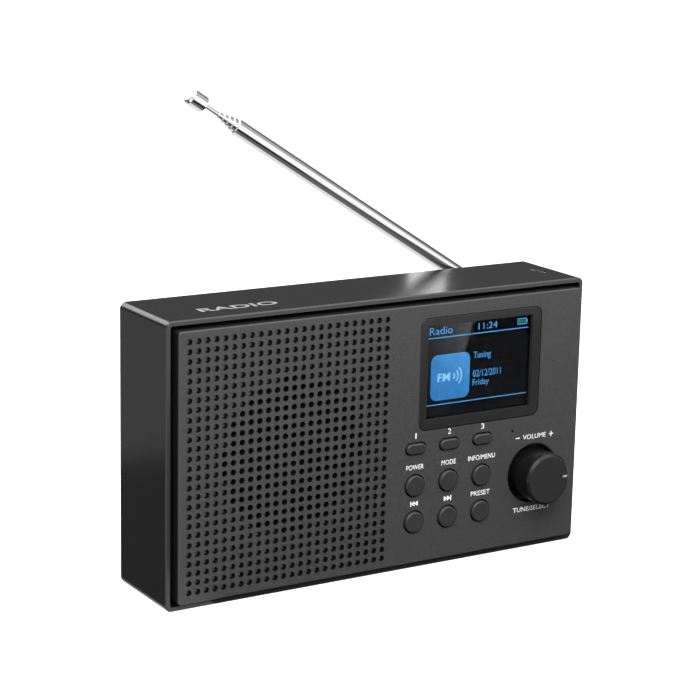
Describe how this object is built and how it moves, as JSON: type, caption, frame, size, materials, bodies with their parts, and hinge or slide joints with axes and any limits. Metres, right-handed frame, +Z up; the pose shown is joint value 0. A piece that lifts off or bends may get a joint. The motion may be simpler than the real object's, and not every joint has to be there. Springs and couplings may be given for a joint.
{
  "type": "tabletop radio",
  "caption": "Portable tabletop radio: slim box cabinet, perforated front panel with a small colour display, push buttons, a tuning knob and a telescopic antenna on the back.",
  "frame": {"origin": "on the surface the radio stands on, under the middle of the whole radio's box with the antenna as stored", "axes": "+X to the right seen from the front, +Y from the front panel into the radio, +Z up"},
  "size_m": [0.1536, 0.051, 0.154],
  "materials": {
    "cabinet_plastic": "fine moulded texture, satin",
    "panel_plastic": "sand-textured coating, satin",
    "bezel_plastic": "smooth satin",
    "window_acrylic": "clear, polished",
    "screen_glass": "black screen, polished",
    "button_plastic": "fine satin",
    "knob_plastic": "fine satin",
    "indicator_inlay": "light grey print",
    "antenna_chrome": "polished chrome plate",
    "screw_steel": "zinc plated",
    "screw_black": "black oxide",
    "part_metal": "nickel plated",
    "foot_rubber": "matte",
    "inner_plastic": "as moulded",
    "switch_plastic": "as moulded",
    "ribbon_film": "amber film",
    "circuit_board": "green solder mask",
    "speaker_steel": "black lacquer",
    "magnet_ferrite": "ground ferrite",
    "surround_rubber": "matte foam rubber",
    "cone_paper": "pressed black paper",
    "grille_cloth": "fine black dust mesh",
    "battery_film": "grey pouch film",
    "lead_red": "red insulation",
    "lead_black": "black insulation"
  },
  "bodies": {
    "cabinet": {"cabinet_shell": "cabinet_plastic", "rubber_feet": "foot_rubber", "front_panel": "panel_plastic", "display_bezel": "bezel_plastic", "display_window": "window_acrylic", "lcd_module": "screen_glass", "lcd_holder": "inner_plastic", "display_ribbon": "ribbon_film", "control_board": "circuit_board", "tact_switches": "switch_plastic", "microphone": "part_metal", "control_board_screws": "screw_steel", "encoder_body": "part_metal", "speaker_frame": "speaker_steel", "speaker_magnet": "magnet_ferrite", "speaker_surround": "surround_rubber", "speaker_cloth": "grille_cloth", "speaker_gasket": "surround_rubber", "speaker_screws": "screw_steel", "main_board": "circuit_board", "main_board_parts": "switch_plastic", "main_board_screws": "screw_steel", "battery_pack": "battery_film", "battery_tape": "surround_rubber", "headphone_jack": "switch_plastic", "charging_socket": "part_metal", "charging_board": "circuit_board", "case_screws": "screw_black", "antenna_tag": "part_metal", "speaker_lead": "lead_red", "battery_lead": "lead_red", "antenna_lead": "lead_black", "charging_lead": "lead_black"},
    "preset_button_1": {"preset_button_1": "button_plastic"},
    "preset_button_2": {"preset_button_2": "button_plastic"},
    "preset_button_3": {"preset_button_3": "button_plastic"},
    "power_button": {"power_button": "button_plastic"},
    "mode_button": {"mode_button": "button_plastic"},
    "menu_button": {"menu_button": "button_plastic"},
    "previous_button": {"previous_button": "button_plastic"},
    "next_button": {"next_button": "button_plastic"},
    "preset_list_button": {"preset_list_button": "button_plastic"},
    "encoder_rotor": {"encoder_rotor": "switch_plastic"},
    "knob": {"tuning_knob": "knob_plastic", "knob_indicator": "indicator_inlay", "encoder_shaft": "part_metal"},
    "speaker_cone": {"speaker_cone": "cone_paper", "speaker_dust_cap": "cone_paper"},
    "antenna_swivel": {"antenna_swivel": "antenna_chrome", "antenna_hinge_pin": "antenna_chrome", "antenna_washer": "part_metal", "antenna_screw": "screw_steel"},
    "antenna_base": {"antenna_eye": "antenna_chrome", "antenna_tube_1": "antenna_chrome"},
    "antenna_section_2": {"antenna_tube_2": "antenna_chrome"},
    "antenna_section_3": {"antenna_tube_3": "antenna_chrome"},
    "antenna_section_4": {"antenna_tube_4": "antenna_chrome"},
    "antenna_section_5": {"antenna_tube_5": "antenna_chrome"},
    "antenna_rod": {"antenna_rod": "antenna_chrome", "antenna_tip": "antenna_chrome"}
  },
  "joints": [
    {"name": "preset_button_1_press", "type": "slide", "parent": "cabinet", "child": "preset_button_1", "axis": [0, 1, 0], "range_m": [0, 0.0005], "stiffness_N_per_m": 3000},
    {"name": "preset_button_2_press", "type": "slide", "parent": "cabinet", "child": "preset_button_2", "axis": [0, 1, 0], "range_m": [0, 0.0005], "stiffness_N_per_m": 3000},
    {"name": "preset_button_3_press", "type": "slide", "parent": "cabinet", "child": "preset_button_3", "axis": [0, 1, 0], "range_m": [0, 0.0005], "stiffness_N_per_m": 3000},
    {"name": "power_button_press", "type": "slide", "parent": "cabinet", "child": "power_button", "axis": [0, 1, 0], "range_m": [0, 0.0005], "stiffness_N_per_m": 3000},
    {"name": "mode_button_press", "type": "slide", "parent": "cabinet", "child": "mode_button", "axis": [0, 1, 0], "range_m": [0, 0.0005], "stiffness_N_per_m": 3000},
    {"name": "menu_button_press", "type": "slide", "parent": "cabinet", "child": "menu_button", "axis": [0, 1, 0], "range_m": [0, 0.0005], "stiffness_N_per_m": 3000},
    {"name": "previous_button_press", "type": "slide", "parent": "cabinet", "child": "previous_button", "axis": [0, 1, 0], "range_m": [0, 0.0005], "stiffness_N_per_m": 3000},
    {"name": "next_button_press", "type": "slide", "parent": "cabinet", "child": "next_button", "axis": [0, 1, 0], "range_m": [0, 0.0005], "stiffness_N_per_m": 3000},
    {"name": "preset_list_button_press", "type": "slide", "parent": "cabinet", "child": "preset_list_button", "axis": [0, 1, 0], "range_m": [0, 0.0005], "stiffness_N_per_m": 3000},
    {"name": "knob_turn", "type": "hinge", "parent": "cabinet", "child": "encoder_rotor", "pos_m": [0.0571, -0.0126, 0.0269], "axis": [0, -1, 0], "continuous": true},
    {"name": "knob_press", "type": "slide", "parent": "encoder_rotor", "child": "knob", "axis": [0, 1, 0], "range_m": [0, 0.0005], "stiffness_N_per_m": 6000},
    {"name": "cone_travel", "type": "slide", "parent": "cabinet", "child": "speaker_cone", "axis": [0, 1, 0], "range_m": [-0.0005, 0.0005], "stiffness_N_per_m": 1500},
    {"name": "antenna_turn", "type": "hinge", "parent": "cabinet", "child": "antenna_swivel", "pos_m": [0.0655, 0.02335, 0.07865], "axis": [0, 1, 0], "range_deg": [-32.3, 147.7]},
    {"name": "antenna_tilt", "type": "hinge", "parent": "antenna_swivel", "child": "antenna_base", "pos_m": [0.0655, 0.02335, 0.07865], "axis": [-0.5344, 0, -0.8453], "range_deg": [0, 90]},
    {"name": "antenna_slide_2", "type": "slide", "parent": "antenna_base", "child": "antenna_section_2", "axis": [-0.8453, 0, 0.5344], "range_m": [0, 0.098]},
    {"name": "antenna_slide_3", "type": "slide", "parent": "antenna_section_2", "child": "antenna_section_3", "axis": [-0.8453, 0, 0.5344], "range_m": [0, 0.098]},
    {"name": "antenna_slide_4", "type": "slide", "parent": "antenna_section_3", "child": "antenna_section_4", "axis": [-0.8453, 0, 0.5344], "range_m": [0, 0.098]},
    {"name": "antenna_slide_5", "type": "slide", "parent": "antenna_section_4", "child": "antenna_section_5", "axis": [-0.8453, 0, 0.5344], "range_m": [0, 0.098]},
    {"name": "antenna_slide_rod", "type": "slide", "parent": "antenna_section_5", "child": "antenna_rod", "axis": [-0.8453, 0, 0.5344], "range_m": [0, 0.098]}
  ]
}
